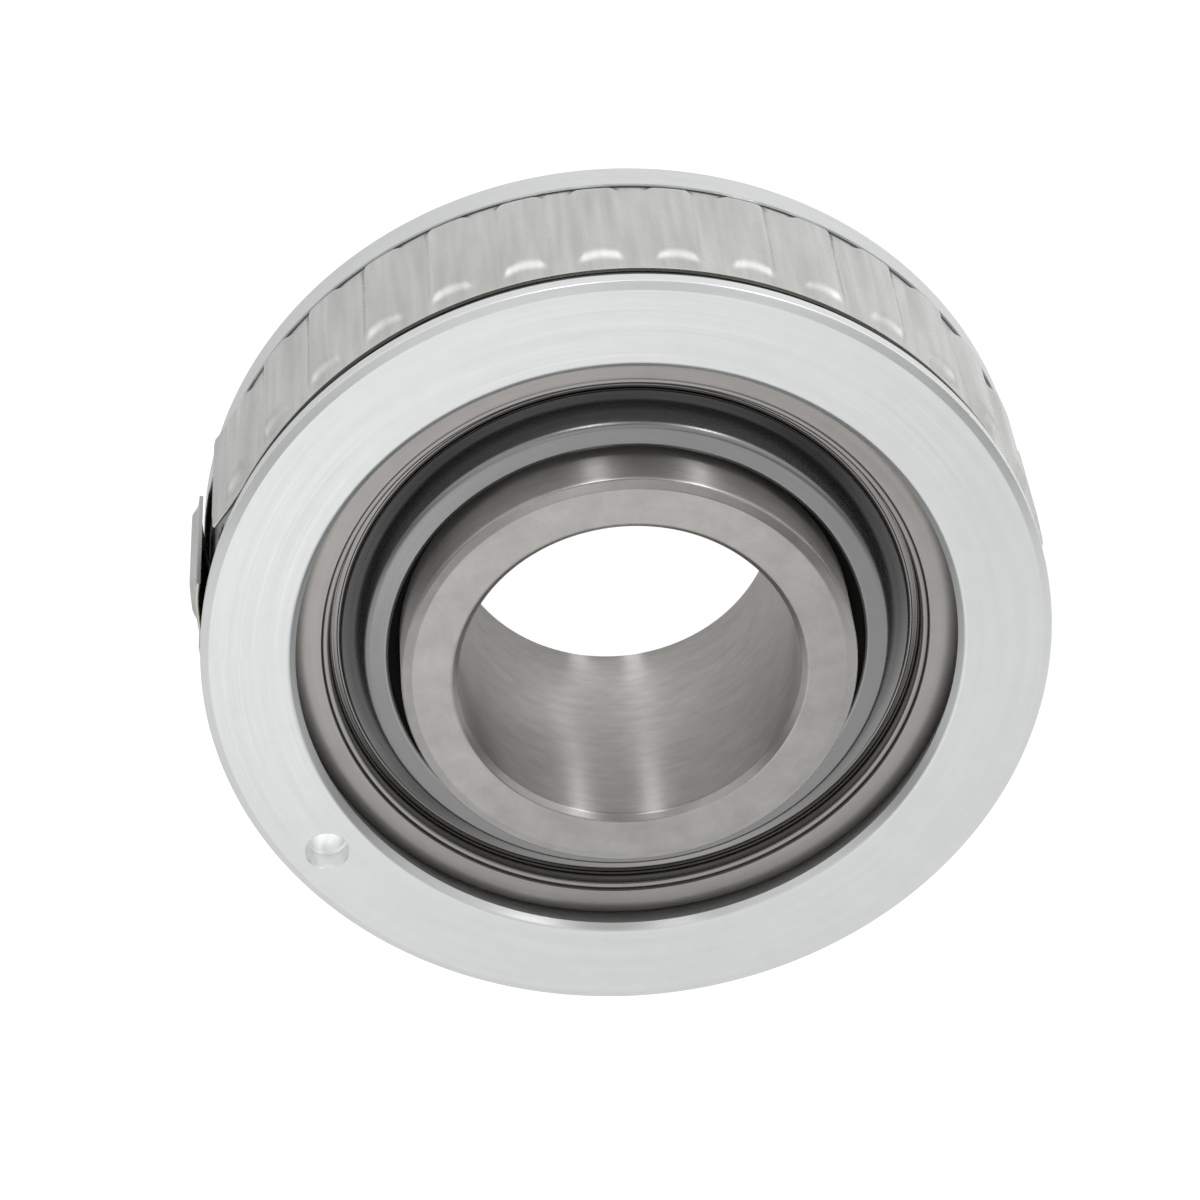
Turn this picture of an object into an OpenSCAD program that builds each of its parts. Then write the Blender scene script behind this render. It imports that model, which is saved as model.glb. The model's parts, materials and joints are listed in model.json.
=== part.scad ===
// Self-aligning shaft bearing: a sealed ball bearing with a spherical outer race sits in a turned
// carrier, and a split corrugated ring round the carrier grips the housing.
// The bore axis is Z, the origin is the bearing's centre, and +Z is the front with the index dimple.
// All sizes are in millimetres and degrees.

/* [Inner ring] */
// Diameter of the shaft bore
bore_d = 35; // [28:0.5:45]
// Wall of the inner ring between the bore and its shoulders
ring_wall = 5.85; // [4.8:0.05:8]
// Length of the inner ring, which stands out of the carrier at both ends
ring_len = 31.4; // [26:0.2:44]
// Chamfer at both ends of the bore
bore_chamfer = 0.7; // [0.3:0.1:1.2]
// Chamfer round both faces, measured across the face
ring_chamfer_face = 1.1; // [0.4:0.1:1.6]
// Chamfer round both faces, measured along the ring
ring_chamfer_side = 0.5; // [0.3:0.1:1.2]

/* [Balls] */
// Number of balls
ball_count = 9; // [7:1:9]
// Diameter of each ball
ball_d = 11.1125; // [9.2:0.0125:13.4]
// Radial space between the shoulders of the two races
ball_space = 6.8; // [5.4:0.1:8.4]
// Radial clearance between a ball and its grooves
groove_clear = 0.04; // [0.02:0.01:0.1]

/* [Cage] */
// Thickness of the cage sheet
cage_t = 0.7; // [0.5:0.05:0.9]
// Radial width of the cage band
cage_band = 3.7; // [3:0.1:4.4]
// Clearance between a ball and its cage pocket
pocket_clear = 0.12; // [0.08:0.01:0.3]
// Diameter of each rivet shank
rivet_d = 2; // [1.6:0.1:2.4]
// Diameter of each rivet head
rivet_head_d = 3.2; // [2.6:0.1:3.6]
// Height of each rivet head
rivet_head_h = 0.8; // [0.5:0.1:1]

/* [Outer race] */
// Wall of the outer race from its shoulder to the crown of its spherical outside
race_wall = 5.85; // [4.8:0.05:8]
// Width of the outer race
race_w = 19.4; // [16:0.1:23.4]
// Chamfer at the corners of the outer race
race_corner = 0.9; // [0.5:0.1:1.2]
// Step from the race's shoulder out to the seat of a seal case
seal_step = 1.25; // [0.9:0.05:1.6]
// Number of lubrication holes in the outer race
lube_count = 3; // [2:1:6]
// Diameter of each lubrication hole
lube_d = 1.6; // [1:0.1:1.8]

/* [Seals] */
// Thickness of the seal case sheet
seal_t = 0.5; // [0.4:0.05:0.7]
// Clearance between the cage and a seal case
seal_clear = 0.45; // [0.35:0.05:0.6]
// How far a seal case stands out past the race's face
seal_rise = 1.6; // [0.8:0.1:2.2]
// Width of a seal case's flange, in its seat
seal_flange = 2.6; // [2.2:0.1:3]
// Width of the flat land at the top of a seal case
seal_land = 2.35; // [1.8:0.05:2.8]
// Radial gap between the inner ring and a seal case
seal_gap = 1.2; // [0.8:0.1:1.6]
// Running clearance between a rubber lip and the inner ring
lip_clear = 0.06; // [0.03:0.01:0.1]

/* [Carrier] */
// Wall of the carrier from the crown of its spherical seat to its outside
carrier_wall = 7.7; // [6.4:0.1:9.4]
// Width of the carrier
carrier_w = 25; // [20.8:0.2:30]
// Running clearance of the spherical seat, on the radius
seat_clear = 0.04; // [0.02:0.01:0.1]
// Chamfer at the mouths of the spherical seat
seat_chamfer = 0.7; // [0.3:0.1:1.2]
// Chamfer round the outside of both faces, measured on the face
carrier_chamfer_face = 0.85; // [0.6:0.05:1.1]
// Chamfer round the outside of both faces, measured along the side
carrier_chamfer_side = 0.4; // [0.3:0.05:0.6]
// Land in front of the groove for the tolerance ring
land_front = 1.8; // [1.5:0.05:2.2]
// Land behind the groove for the tolerance ring
land_rear = 4.05; // [3.4:0.05:4.8]
// Depth of the groove for the tolerance ring
groove_depth = 0.75; // [0.6:0.05:0.9]
// Diameter of the blind index dimple in the front face
dimple_d = 4.5; // [3.6:0.1:5.4]
// Depth of the index dimple
dimple_depth = 2.7; // [2:0.1:3.4]
// Distance from the middle of the index dimple to the carrier's outside
dimple_edge = 4.75; // [4:0.05:5.5]
// Angle of the index dimple round the axis
dimple_angle = 218; // [0:1:359]
// Diameter of the radial grease passage
grease_d = 3.5; // [2.8:0.1:4.2]
// Width of the grease grooves in the seat and in the race
grease_groove_w = 2.4; // [1.8:0.1:3]
// Depth of the grease grooves
grease_groove_depth = 0.6; // [0.4:0.1:0.9]
// Clearance of the loading slots round a race that is turned edge-on
slot_clear = 0.2; // [0.1:0.05:0.5]

/* [Tolerance ring] */
// Thickness of the ring's strip
band_t = 0.4; // [0.3:0.05:0.5]
// Clearance between the strip and the floor of its groove
band_clear = 0.08; // [0.04:0.01:0.1]
// Free space in front of the strip, in its groove
band_gap_front = 1.7; // [1.3:0.1:2]
// Free space behind the strip, in its groove
band_gap_rear = 0.1; // [0.05:0.05:0.3]
// How far the wave crests stand out of the carrier
crest_proud = 0.3; // [0.2:0.05:0.6]
// Number of equal pitches round the ring, one of which is the split
pitch_count = 36; // [30:1:40]
// Width of the valley between two waves
valley_w = 0.5; // [0.3:0.1:0.9]
// Width of the plain rim along both edges of the strip
rim_w = 1.1; // [0.8:0.1:1.6]
// Length of the sloping end of a wave, along the axis
wave_slope = 1.4; // [1:0.1:2]
// Angle of the middle of the split
split_angle = 166.5; // [0:0.5:359.5]
// Width of the split, as an angle
split_width = 9; // [7:0.5:10]

/* [Hidden] */
$fn = 96;

// A cut reaches this far past the surface that it opens.
over = 1;
// Air round a rivet shank, and round a seal case in its seat.
snug = 0.02;

// Ball bearing, from the bore outwards.
bore_r = bore_d / 2;
ring_r = bore_r + ring_wall;
shoulder_r = ring_r + ball_space;
pitch_r = (ring_r + shoulder_r) / 2;
race_r = shoulder_r + race_wall;
ball_r = ball_d / 2;
groove_r = ball_r + groove_clear;
ball_step = 360 / ball_count;

// Cage, from a ball outwards.
pocket_r = ball_r + pocket_clear;
cage_top = pocket_r + cage_t;
cage_in_r = pitch_r - cage_band / 2;

// Seal, from the cage outwards along the axis, and from the race inwards.
race_face = race_w / 2;
seal_seat_r = shoulder_r + seal_step;
seal_base = cage_top + seal_clear;
seal_top = race_face + seal_rise;
case_out_r = seal_seat_r - snug;
case_in_r = ring_r + seal_gap;
land_out_r = case_in_r + seal_land;
flange_in_r = case_out_r - seal_flange;
land_fall = 0.35;
channel_out_r = case_out_r - 0.75;
channel_in_r = channel_out_r - 0.8;
bead_z = seal_base + 1.25;
channel_z = seal_base + 0.6;
case_rim_z = max(race_face - 0.3, bead_z);
lip_tip_r = ring_r + lip_clear;

// Carrier, from the race outwards.
seat_r = race_r + seat_clear;
carrier_r = seat_r + carrier_wall;
carrier_face = carrier_w / 2;
floor_r = carrier_r - groove_depth;
groove_top = carrier_face - land_front;
groove_bottom = land_rear - carrier_face;
mouth_z = carrier_face - seat_chamfer;
mouth_r = sqrt(seat_r * seat_r - mouth_z * mouth_z);
face_in_r = mouth_r + seat_chamfer;
dimple_r = carrier_r - dimple_edge;
dimple_tip = 0.3;
seat_groove_w = grease_d + 0.9;
grease_z = (seal_base + sqrt(groove_r * groove_r - pow(shoulder_r - pitch_r, 2))) / 2;

// Tolerance ring, from the groove's floor outwards.
band_in_r = floor_r + band_clear;
band_out_r = band_in_r + band_t;
crest_r = carrier_r + crest_proud;
wave_h = crest_r - band_out_r;
wave_chord = 2 * band_out_r * sin(180 / pitch_count) - valley_w;
wave_r = (wave_chord * wave_chord / 4 + wave_h * wave_h) / (2 * wave_h);
band_bottom = groove_bottom + band_gap_rear;
band_top = groove_top - band_gap_front;

function ball_name(i) = str("ball_", i);

// A straight bar of light section round the axis: the ring between two radii and two heights.
module tube(r_in, r_out, z_low, z_high) {
    rotate_extrude() translate([r_in, z_low]) square([r_out - r_in, z_high - z_low]);
}

module at_ball(i) {
    rotate([0, 0, i * ball_step]) translate([pitch_r, 0, 0]) children();
}

module at_rivet(i) {
    at_ball(i + 0.5) children();
}

// Half of the carrier's outline, with its chamfers and the groove for the tolerance ring.
module carrier_outline() {
    polygon([
        [mouth_r - over, -mouth_z],
        [mouth_r, -mouth_z],
        [face_in_r, -carrier_face],
        [carrier_r - carrier_chamfer_face, -carrier_face],
        [carrier_r, carrier_chamfer_side - carrier_face],
        [carrier_r, groove_bottom],
        [floor_r, groove_bottom],
        [floor_r, groove_top],
        [carrier_r, groove_top],
        [carrier_r, carrier_face - carrier_chamfer_side],
        [carrier_r - carrier_chamfer_face, carrier_face],
        [face_in_r, carrier_face],
        [mouth_r, mouth_z],
        [mouth_r - over, mouth_z]
    ]);
}

module carrier() {
    color("gainsboro") difference() {
        rotate_extrude() difference() {
            carrier_outline();
            circle(r = seat_r);
            translate([0, grease_z - seat_groove_w / 2])
                square([seat_r + grease_groove_depth, seat_groove_w]);
        }
        loading_slots();
        index_dimple();
        grease_passage();
    }
}

// Two slots, one at each side, let the race in from the rear, edge-on, before it is turned square.
module loading_slots() {
    slot_w = race_w + 2 * slot_clear;
    slot_r = seat_r + slot_clear;
    slot_h = carrier_face + over + slot_clear;
    translate([0, 0, slot_clear - slot_h]) intersection() {
        cylinder(h = slot_h, r = slot_r);
        translate([-slot_r - over, -slot_w / 2, -over])
            cube([2 * slot_r + 2 * over, slot_w, slot_h + 2 * over]);
    }
}

module index_dimple() {
    rotate([0, 0, dimple_angle]) translate([dimple_r, 0, carrier_face - dimple_depth]) {
        cylinder(h = dimple_depth + over, d = dimple_d);
        translate([0, 0, -dimple_tip]) cylinder(h = dimple_tip, d1 = 0.4, d2 = dimple_d);
    }
}

module grease_passage() {
    rotate([0, 0, split_angle]) translate([seat_r - over * 2, 0, grease_z])
        rotate([0, 90, 0]) cylinder(h = carrier_wall + over * 3, d = grease_d);
}

// The waves' plan: one round bump for each pitch apart from the one at the split.
module wave_plan(r) {
    first = round(split_angle / (360 / pitch_count) - 0.5);
    for (i = [1 : pitch_count - 1])
        rotate([0, 0, (first + i + 0.5) * 360 / pitch_count])
            translate([crest_r - wave_r, 0]) circle(r = r);
}

// The sloping wave ends: a band whose edges run in towards the crests.
module wave_envelope(base_r, start) {
    reach = wave_h + over;
    run = reach * wave_slope / wave_h;
    rotate_extrude() polygon([
        [base_r - wave_r, band_bottom + start],
        [base_r, band_bottom + start],
        [base_r + reach, band_bottom + start + run],
        [base_r + reach, band_top - start - run],
        [base_r, band_top - start],
        [base_r - wave_r, band_top - start]
    ]);
}

module waves(r, base_r, start) {
    intersection() {
        translate([0, 0, band_bottom]) linear_extrude(band_top - band_bottom) wave_plan(r);
        wave_envelope(base_r, start);
    }
}

module split_cut() {
    translate([0, 0, band_bottom - over]) rotate([0, 0, split_angle - split_width / 2])
        rotate_extrude(angle = split_width)
            translate([band_in_r - over * 3, 0])
                square([band_t + wave_h + over * 5, band_top - band_bottom + 2 * over]);
}

module tolerance_ring() {
    slope = wave_h / wave_slope;
    inner_start = rim_w + band_t * (sqrt(1 + slope * slope) - 1) / slope;
    color("silver") difference() {
        union() {
            tube(band_in_r - over, band_out_r, band_bottom, band_top);
            waves(wave_r, band_out_r, rim_w);
        }
        tube(0, band_in_r, band_bottom - over, band_top + over);
        waves(wave_r - band_t, band_in_r, inner_start);
        split_cut();
    }
}

// Half of the outer race's section, inside its spherical outline.
module race_section() {
    corner_r = sqrt(race_r * race_r - race_face * race_face);
    polygon([
        [seal_seat_r, -race_face],
        [corner_r - race_corner, -race_face],
        [corner_r + race_corner, 2 * race_corner - race_face],
        [race_r + over, 2 * race_corner - race_face],
        [race_r + over, race_face - 2 * race_corner],
        [corner_r + race_corner, race_face - 2 * race_corner],
        [corner_r - race_corner, race_face],
        [seal_seat_r, race_face],
        [seal_seat_r, seal_base],
        [shoulder_r, seal_base],
        [shoulder_r, -seal_base],
        [seal_seat_r, -seal_base]
    ]);
}

module outer_race() {
    groove_in_r = sqrt(race_r * race_r - grease_z * grease_z) - grease_groove_depth;
    color("rosybrown") difference() {
        rotate_extrude() difference() {
            intersection() {
                circle(r = race_r);
                race_section();
            }
            translate([pitch_r, 0]) circle(r = groove_r);
            translate([groove_in_r, grease_z - grease_groove_w / 2]) square([race_wall, grease_groove_w]);
        }
        for (i = [0 : lube_count - 1])
            rotate([0, 0, i * 360 / lube_count]) translate([shoulder_r - over, 0, grease_z])
                rotate([0, 90, 0]) cylinder(h = race_wall + over, d = lube_d);
    }
}

module inner_ring() {
    end = ring_len / 2;
    color("tan") rotate_extrude() difference() {
        polygon([
            [bore_r + bore_chamfer, -end],
            [ring_r - ring_chamfer_face, -end],
            [ring_r, ring_chamfer_side - end],
            [ring_r, end - ring_chamfer_side],
            [ring_r - ring_chamfer_face, end],
            [bore_r + bore_chamfer, end],
            [bore_r, end - bore_chamfer],
            [bore_r, bore_chamfer - end]
        ]);
        translate([pitch_r, 0]) circle(r = groove_r);
    }
}

module ball(i) {
    color("lightsteelblue") at_ball(i) sphere(r = ball_r);
}

// One pressed cage half, above the parting plane: a flat band with a cup over each ball.
module cage_half() {
    difference() {
        intersection() {
            union() {
                tube(cage_in_r - over, cage_in_r + cage_band + over, 0, cage_t);
                for (i = [1 : ball_count]) at_ball(i) sphere(r = cage_top);
            }
            tube(cage_in_r, cage_in_r + cage_band, 0, cage_top + over);
        }
        for (i = [1 : ball_count]) {
            at_ball(i) sphere(r = pocket_r);
            at_rivet(i) translate([0, 0, -over]) cylinder(h = cage_t + 2 * over, r = rivet_d / 2 + snug);
        }
    }
}

module cage_front() {
    color("goldenrod") cage_half();
}

module cage_rear() {
    color("darkgoldenrod") rotate([180, 0, 0]) cage_half();
}

module rivet() {
    head_r = rivet_head_d / 2;
    head_top = cage_t + rivet_head_h;
    crown = rivet_head_h / 2;
    rotate_extrude() polygon([
        [0, -head_top],
        [head_r - crown, -head_top],
        [head_r, crown - head_top],
        [head_r, -cage_t],
        [rivet_d / 2, -cage_t],
        [rivet_d / 2, cage_t],
        [head_r, cage_t],
        [head_r, head_top - crown],
        [head_r - crown, head_top],
        [0, head_top]
    ]);
}

module cage_rivets() {
    color("dimgray") for (i = [1 : ball_count]) at_rivet(i) rivet();
}

// Pressed seal case: a flange with a bead and a channel, a steep cone and a flat land.
module seal_case() {
    rotate_extrude() polygon([
        [case_out_r, seal_base],
        [case_out_r, case_rim_z],
        [channel_out_r, case_rim_z],
        [channel_out_r, channel_z],
        [channel_in_r, channel_z],
        [channel_in_r, bead_z],
        [flange_in_r, channel_z],
        [land_out_r, seal_top - land_fall],
        [case_in_r, seal_top],
        [case_in_r, seal_top - seal_t],
        [land_out_r - seal_t, seal_top - land_fall - seal_t],
        [flange_in_r - seal_t * 0.6, seal_base]
    ]);
}

// Rubber lip, bonded under the land: a thick heel and a thin lip that leans in to the ring.
module seal_lip() {
    heel_out_r = land_out_r - seal_t - 0.3;
    heel_z = seal_top - seal_t - 1.6;
    under = land_fall * (heel_out_r - case_in_r) / (land_out_r - seal_t - case_in_r);
    rotate_extrude() polygon([
        [case_in_r, seal_top - seal_t],
        [heel_out_r, seal_top - seal_t - under],
        [heel_out_r, heel_z],
        [case_in_r, heel_z - 0.2],
        [lip_tip_r, heel_z - 1.3],
        [lip_tip_r, heel_z - 0.9],
        [case_in_r - 0.1, heel_z + 0.6]
    ]);
}

module seal_case_front() {
    color("slategray") seal_case();
}

module seal_case_rear() {
    color("slategray") rotate([180, 0, 0]) seal_case();
}

module seal_lip_front() {
    color("black") seal_lip();
}

module seal_lip_rear() {
    color("black") rotate([180, 0, 0]) seal_lip();
}

carrier();
tolerance_ring();
outer_race();
inner_ring();
for (i = [1 : ball_count])
    ball(i);
cage_front();
cage_rear();
cage_rivets();
seal_case_front();
seal_lip_front();
seal_case_rear();
seal_lip_rear();
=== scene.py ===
"""A sealed, self-aligning shaft bearing in a turned aluminium carrier with a corrugated tolerance ring.

The CAD frame gives the sizes. Every piece that shows is modelled again here with rounded edges and
formed sheet, in millimetres round the bore's axis, and rides on its CAD body.
"""
import json
import math

import bpy
from mathutils import Matrix, Vector

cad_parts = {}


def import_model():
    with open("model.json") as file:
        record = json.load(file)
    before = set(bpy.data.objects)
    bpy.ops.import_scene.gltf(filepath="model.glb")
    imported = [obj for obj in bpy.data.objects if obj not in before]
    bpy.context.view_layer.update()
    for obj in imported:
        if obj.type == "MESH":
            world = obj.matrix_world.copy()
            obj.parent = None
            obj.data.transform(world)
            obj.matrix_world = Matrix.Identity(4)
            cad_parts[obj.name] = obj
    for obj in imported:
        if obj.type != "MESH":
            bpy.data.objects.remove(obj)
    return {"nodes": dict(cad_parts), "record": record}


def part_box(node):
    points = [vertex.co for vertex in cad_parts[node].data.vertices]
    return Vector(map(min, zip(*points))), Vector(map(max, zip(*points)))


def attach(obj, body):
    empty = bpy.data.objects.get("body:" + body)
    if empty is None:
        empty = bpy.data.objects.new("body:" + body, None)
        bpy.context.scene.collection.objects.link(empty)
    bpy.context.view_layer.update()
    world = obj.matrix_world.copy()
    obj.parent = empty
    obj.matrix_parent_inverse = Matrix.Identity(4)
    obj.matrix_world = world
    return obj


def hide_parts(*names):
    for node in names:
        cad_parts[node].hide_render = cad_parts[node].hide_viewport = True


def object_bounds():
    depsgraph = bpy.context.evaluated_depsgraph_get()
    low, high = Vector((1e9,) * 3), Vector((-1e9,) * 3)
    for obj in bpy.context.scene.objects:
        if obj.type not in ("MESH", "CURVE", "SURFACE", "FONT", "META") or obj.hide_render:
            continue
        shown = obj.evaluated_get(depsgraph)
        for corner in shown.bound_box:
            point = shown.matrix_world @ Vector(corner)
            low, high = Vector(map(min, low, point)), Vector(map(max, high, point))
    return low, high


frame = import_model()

MM = 0.001
CAD_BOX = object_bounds()


# ---------------------------------------------------------------- sizes from the frame, in mm

def span(node):
    """The inner and outer radius and the lowest and highest z of a CAD node."""
    points = [v.co / MM for v in frame["nodes"][node].data.vertices]
    radii = [math.hypot(p.x, p.y) for p in points]
    heights = [p.z for p in points]
    return min(radii), max(radii), min(heights), max(heights)


def mount(name):
    """A mount of the record: its place in mm, its direction in degrees round Z, and its sizes."""
    found = next(m for m in frame["record"]["mounts"] if m["name"] == name)
    place = Vector(found["pos_m"]) / MM
    return place, math.degrees(math.atan2(place.y, place.x)), found["dims"]


BORE_R, RING_R, _, RING_END = span("inner_ring")
SHOULDER_R, RACE_R, _, RACE_FACE = span("outer_race")
MOUTH_R, CARRIER_R, _, CARRIER_FACE = span("carrier")
BAND_IN_R, CREST_R, BAND_LOW, BAND_HIGH = span("tolerance_ring")
CASE_IN_R, CASE_OUT_R, SEAL_BASE, SEAL_TOP = span("seal_case_front")
LIP_TIP_R, LIP_OUT_R, LIP_LOW, _ = span("seal_lip_front")
BALL_LOW, BALL_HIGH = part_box("ball_9")
BALL_R = (BALL_HIGH.z - BALL_LOW.z) / 2 / MM
PITCH_R = (BALL_HIGH.x + BALL_LOW.x) / 2 / MM

GREASE_PLACE, SPLIT_ANGLE, GREASE_DIMS = mount("grease_port")
GREASE_Z = GREASE_PLACE.z
DIMPLE_PLACE, _, DIMPLE_DIMS = mount("index_dimple")


# ---------------------------------------------------------------- mesh tools

def rounded(outline, steps=5, hold=0.06):
    """Closed outline of (r, z, corner radius) as (r, z) points, with held flats beside each corner."""
    points = []
    for i, (r, z, radius) in enumerate(outline):
        if not radius:
            points.append((r, z))
            continue
        corner = Vector((r, z))
        back = Vector(outline[i - 1][:2]) - corner
        on = Vector(outline[(i + 1) % len(outline)][:2]) - corner
        half = back.angle(on) / 2
        setback = min(radius / math.tan(half), 0.45 * back.length, 0.45 * on.length)
        radius = setback * math.tan(half)
        back_dir, on_dir = back.normalized(), on.normalized()
        centre = corner + (back_dir + on_dir).normalized() * radius / math.sin(half)
        start = corner + back_dir * setback - centre
        turn = math.pi - 2 * half
        if start.x * on_dir.y - start.y * on_dir.x < 0:
            turn = -turn
        if hold:
            rest = min(hold, 0.1 * back.length)
            points.append(tuple(centre + start + back_dir * rest))
        for k in range(steps + 1):
            points.append(tuple(centre + Matrix.Rotation(turn * k / steps, 2) @ start))
        if hold:
            rest = min(hold, 0.1 * on.length)
            points.append(tuple(corner + on_dir * (setback + rest)))
    return points


def arc(centre_r, centre_z, radius, start, end, steps):
    """Corner-free outline points on a circle, from one direction to another in degrees."""
    angles = [math.radians(start + (end - start) * k / steps) for k in range(steps + 1)]
    return [(centre_r + radius * math.cos(a), centre_z + radius * math.sin(a), 0) for a in angles]


def new_object(name, mesh):
    piece = bpy.data.objects.new(name, mesh)
    bpy.context.scene.collection.objects.link(piece)
    return piece


def finish_mesh(mesh, sharp=32):
    mesh.validate()
    mesh.update()
    mesh.shade_smooth()
    mesh.set_sharp_from_angle(angle=math.radians(sharp))


def spin(name, points, steps=360):
    """A closed solid of revolution from (r, z) points. Points on the axis become poles."""
    if sum(a[0] * b[1] - b[0] * a[1] for a, b in zip(points, points[1:] + points[:1])) < 0:
        points = points[::-1]
    verts, rows = [], []
    for r, z in points:
        count = 1 if r < 1e-6 else steps
        rows.append([len(verts) + k for k in range(count)])
        for k in range(count):
            a = 2 * math.pi * k / steps
            verts.append((r * math.cos(a) * MM, r * math.sin(a) * MM, z * MM))
    faces = []
    for low, high in zip(rows, rows[1:] + rows[:1]):
        if len(low) == 1 and len(high) == 1:
            continue
        for k in range(steps):
            j = (k + 1) % steps
            corners = [low[k % len(low)], low[j % len(low)], high[j % len(high)], high[k % len(high)]]
            faces.append([c for n, c in enumerate(corners) if c not in corners[:n]])
    mesh = bpy.data.meshes.new(name)
    mesh.from_pydata(verts, [], faces)
    finish_mesh(mesh)
    return new_object(name, mesh)


def box_solid(name, low, high):
    """A box between two corners in mm."""
    verts = [(x * MM, y * MM, z * MM) for x in (low[0], high[0]) for y in (low[1], high[1])
             for z in (low[2], high[2])]
    faces = [(0, 1, 3, 2), (4, 6, 7, 5), (0, 4, 5, 1), (2, 3, 7, 6), (0, 2, 6, 4), (1, 5, 7, 3)]
    mesh = bpy.data.meshes.new(name)
    mesh.from_pydata(verts, [], faces)
    return new_object(name, mesh)


def combine(piece, others, operation):
    """Cuts or intersects a piece with other solids, and removes those."""
    for other in others:
        step = piece.modifiers.new(operation, "BOOLEAN")
        step.object = other
        step.operation = operation
        step.solver = "EXACT"
    graph = bpy.context.evaluated_depsgraph_get()
    mesh = bpy.data.meshes.new_from_object(piece.evaluated_get(graph))
    piece.modifiers.clear()
    old, piece.data = piece.data, mesh
    bpy.data.meshes.remove(old)
    for other in others:
        bpy.data.objects.remove(other)
    finish_mesh(mesh)


def place_along(piece, origin, direction):
    """Moves a piece turned round Z so that its Z axis runs along direction from origin, in mm."""
    turn = Vector((0, 0, 1)).rotation_difference(Vector(direction)).to_matrix().to_4x4()
    piece.data.transform(Matrix.Translation(Vector(origin) * MM) @ turn)


def polar(r, angle, z=0.0):
    a = math.radians(angle)
    return Vector((r * math.cos(a), r * math.sin(a), z))


def install(piece, body, nodes, material):
    """Puts a finished piece in place of CAD nodes."""
    piece.data.materials.clear()
    piece.data.materials.append(material)
    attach(piece, body)
    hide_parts(*nodes)
    return piece


# ---------------------------------------------------------------- materials

class Nodes:
    """A short way to write a node tree."""

    def __init__(self, tree):
        self.tree = tree

    def add(self, kind, inputs=None, **settings):
        node = self.tree.nodes.new("ShaderNode" + kind)
        for key, value in settings.items():
            setattr(node, key, value)
        for key, value in (inputs or {}).items():
            self.put(node.inputs[key], value)
        return node

    def put(self, socket, value):
        if isinstance(value, bpy.types.NodeSocket):
            self.tree.links.new(value, socket)
        else:
            socket.default_value = value

    def math(self, operation, a, b=0.0):
        return self.add("Math", {0: a, 1: b}, operation=operation).outputs[0]

    def noise(self, vector, scale, detail=2.0, roughness=0.5):
        inputs = {"Vector": vector, "Scale": scale, "Detail": detail, "Roughness": roughness}
        return self.add("TexNoise", inputs).outputs["Fac"]

    def ramp(self, value, low, high):
        """Takes 0..1 noise to low..high."""
        inputs = {"Value": value, "From Min": 0.3, "From Max": 0.7, "To Min": low, "To Max": high}
        return self.add("MapRange", inputs).outputs["Result"]

    def combine(self, x, y, z):
        return self.add("CombineXYZ", {"X": x, "Y": y, "Z": z}).outputs["Vector"]

    def length(self, x, y):
        """The length of a vector in the plane."""
        return self.math("SQRT", self.math("ADD", self.math("MULTIPLY", x, x), self.math("MULTIPLY", y, y)))

    def between(self, value, low, high, at_low=0.0, at_high=1.0):
        """at_low below low and at_high above high, with a smooth step."""
        inputs = {"Value": value, "From Min": low, "From Max": high, "To Min": at_low, "To Max": at_high}
        return self.add("MapRange", inputs, interpolation_type="SMOOTHSTEP").outputs["Result"]

    def mixed(self, factor, low, high):
        """low where the factor is 0 and high where it is 1."""
        return self.add("MapRange", {"Value": factor, "To Min": low, "To Max": high}).outputs["Result"]


class Surface(Nodes):
    """A material's node tree, with the place on the object in millimetres."""

    def __init__(self, name):
        self.material = bpy.data.materials.new(name)
        self.material.use_nodes = True
        super().__init__(self.material.node_tree)
        self.shader = self.tree.nodes["Principled BSDF"]
        place = self.add("SeparateXYZ", {"Vector": self.add("TexCoord").outputs["Object"]})
        self.x, self.y, self.z = (self.math("MULTIPLY", place.outputs[axis], 1 / MM) for axis in "XYZ")
        self.r = self.length(self.x, self.y)
        self.angle = self.math("ARCTAN2", self.y, self.x)

    def tint(self, color, amount, value):
        """The colour, darkened and lightened by a 0..1 noise."""
        low = [c * (1 - amount) for c in color] + [1]
        high = [min(c * (1 + amount), 1) for c in color] + [1]
        mix = self.add("Mix", {"Factor": value}, data_type="RGBA")
        mix.inputs["A"].default_value = low
        mix.inputs["B"].default_value = high
        self.put(self.shader.inputs["Base Color"], mix.outputs["Result"])

    def stain(self, color, value):
        """Mixes another colour over the tint where the value is 1."""
        base = self.shader.inputs["Base Color"].links[0].from_socket
        mix = self.add("Mix", {"Factor": value}, data_type="RGBA")
        self.put(mix.inputs["A"], base)
        mix.inputs["B"].default_value = list(color) + [1]
        self.put(self.shader.inputs["Base Color"], mix.outputs["Result"])

    def bump(self, height, distance, strength=1.0):
        inputs = {"Height": height, "Distance": distance * MM, "Strength": strength}
        self.put(self.shader.inputs["Normal"], self.add("Bump", inputs).outputs["Normal"])

    def metal(self, anisotropy=0.0):
        self.shader.inputs["Metallic"].default_value = 1.0
        if anisotropy:
            self.shader.inputs["Anisotropic"].default_value = anisotropy
            self.shader.inputs["Anisotropic Rotation"].default_value = 0.25
            tangent = self.add("Tangent", direction_type="RADIAL", axis="Z")
            self.put(self.shader.inputs["Tangent"], tangent.outputs["Tangent"])


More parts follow.
